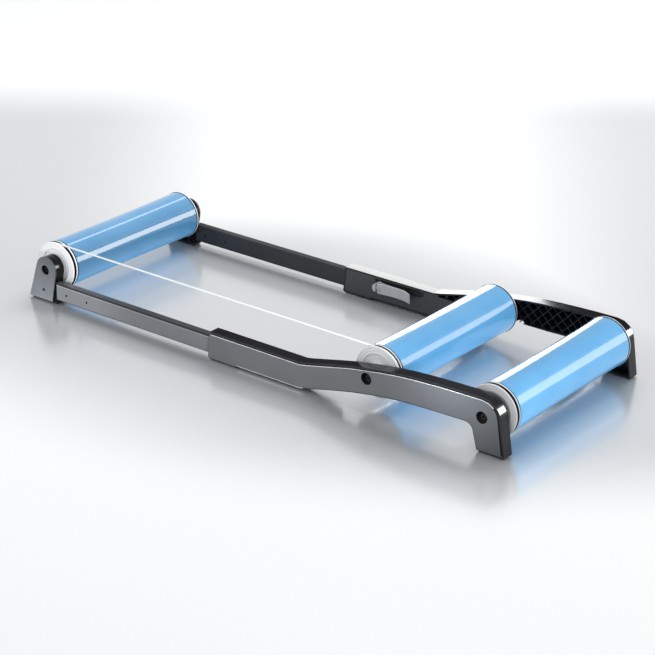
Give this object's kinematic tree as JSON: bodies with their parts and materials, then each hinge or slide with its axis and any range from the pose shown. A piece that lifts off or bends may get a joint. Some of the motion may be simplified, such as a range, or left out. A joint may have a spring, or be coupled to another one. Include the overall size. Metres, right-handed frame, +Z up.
{
  "type": "bike rollers",
  "caption": "Retractable training rollers: waisted drums on axles between two long side arms, a cord belt, sliding steel bars with cam clamp levers.",
  "frame": {"origin": "on the floor, under the middle of the extended machine's length and width", "axes": "+X runs from the single front drum towards the drum pair, +Y is the rider's right (the side without the belt), +Z is up"},
  "size_m": [1.354, 0.516, 0.138],
  "materials": {
    "black_plastic": "satin to gloss black moulding",
    "dark_panel": "satin dark grey panel",
    "cast_silver": "satin silver-grey casting",
    "bar_steel": "satin grey coated steel tube",
    "grey_plate": "satin grey",
    "foot_rubber": "matt black",
    "dark_steel": "black oxide",
    "bright_steel": "turned bright steel",
    "drum_blue": "gloss light blue coat",
    "cap_grey": "satin light grey moulding",
    "belt_white": "smooth pale polyurethane cord"
  },
  "bodies": {
    "rear_frame": {"left_arm": "black_plastic", "right_arm": "black_plastic", "left_clamp_cover": "dark_panel", "right_clamp_cover": "dark_panel", "left_clamp_shoe": "black_plastic", "right_clamp_shoe": "black_plastic", "left_lever_bracket": "cast_silver", "right_lever_bracket": "cast_silver", "left_lever_pin": "bright_steel", "right_lever_pin": "bright_steel", "left_rear_foot_pad": "foot_rubber", "right_rear_foot_pad": "foot_rubber", "middle_axle": "bright_steel", "rear_axle": "bright_steel", "left_middle_axle_screw": "dark_steel", "right_middle_axle_screw": "dark_steel", "left_rear_axle_screw": "dark_steel", "right_rear_axle_screw": "dark_steel", "drive_belt": "belt_white"},
    "front_frame": {"left_bar": "bar_steel", "right_bar": "bar_steel", "left_bar_glide": "black_plastic", "right_bar_glide": "black_plastic", "left_front_foot_body": "black_plastic", "right_front_foot_body": "black_plastic", "left_front_foot_plate": "grey_plate", "right_front_foot_plate": "grey_plate", "left_front_foot_pad": "foot_rubber", "right_front_foot_pad": "foot_rubber", "left_plate_screw": "dark_steel", "right_plate_screw": "dark_steel", "left_bar_pin_front": "dark_steel", "right_bar_pin_front": "dark_steel", "left_bar_pin_rear": "dark_steel", "right_bar_pin_rear": "dark_steel", "front_axle": "bright_steel", "left_front_axle_screw": "dark_steel", "right_front_axle_screw": "dark_steel"},
    "left_lever": {"left_lever": "cast_silver"},
    "right_lever": {"right_lever": "cast_silver"},
    "front_drum": {"front_drum_tube": "drum_blue", "front_drum_pulley_cap": "cap_grey", "front_drum_plain_cap": "cap_grey", "left_front_bearing": "bright_steel", "right_front_bearing": "bright_steel"},
    "middle_drum": {"middle_drum_tube": "drum_blue", "middle_drum_pulley_cap": "cap_grey", "middle_drum_plain_cap": "cap_grey", "left_middle_bearing": "bright_steel", "right_middle_bearing": "bright_steel"},
    "rear_drum": {"rear_drum_tube": "drum_blue", "rear_drum_pulley_cap": "cap_grey", "rear_drum_plain_cap": "cap_grey", "left_rear_bearing": "bright_steel", "right_rear_bearing": "bright_steel"}
  },
  "joints": [
    {"name": "front_slide", "type": "slide", "parent": "rear_frame", "child": "front_frame", "axis": [1, 0, 0], "range_m": [0, 0.46], "deforming": ["drive_belt"]},
    {"name": "front_drum_spin", "type": "hinge", "parent": "front_frame", "child": "front_drum", "pos_m": [-0.619, 0, 0.08], "axis": [0, 1, 0], "continuous": true},
    {"name": "middle_drum_spin", "type": "hinge", "parent": "rear_frame", "child": "middle_drum", "pos_m": [0.328, 0, 0.08], "axis": [0, 1, 0], "continuous": true},
    {"name": "rear_drum_spin", "type": "hinge", "parent": "rear_frame", "child": "rear_drum", "pos_m": [0.619, 0, 0.08], "axis": [0, 1, 0], "continuous": true},
    {"name": "left_lever_hinge", "type": "hinge", "parent": "rear_frame", "child": "left_lever", "pos_m": [0.0025, -0.2195, 0.042], "axis": [0, 0, 1], "range_deg": [0, 100]},
    {"name": "right_lever_hinge", "type": "hinge", "parent": "rear_frame", "child": "right_lever", "pos_m": [0.0025, 0.2195, 0.042], "axis": [0, 0, -1], "range_deg": [0, 100]}
  ],
  "couplings": [
    {"joint": "front_drum_spin", "follows": "middle_drum_spin", "ratio": 1}
  ]
}
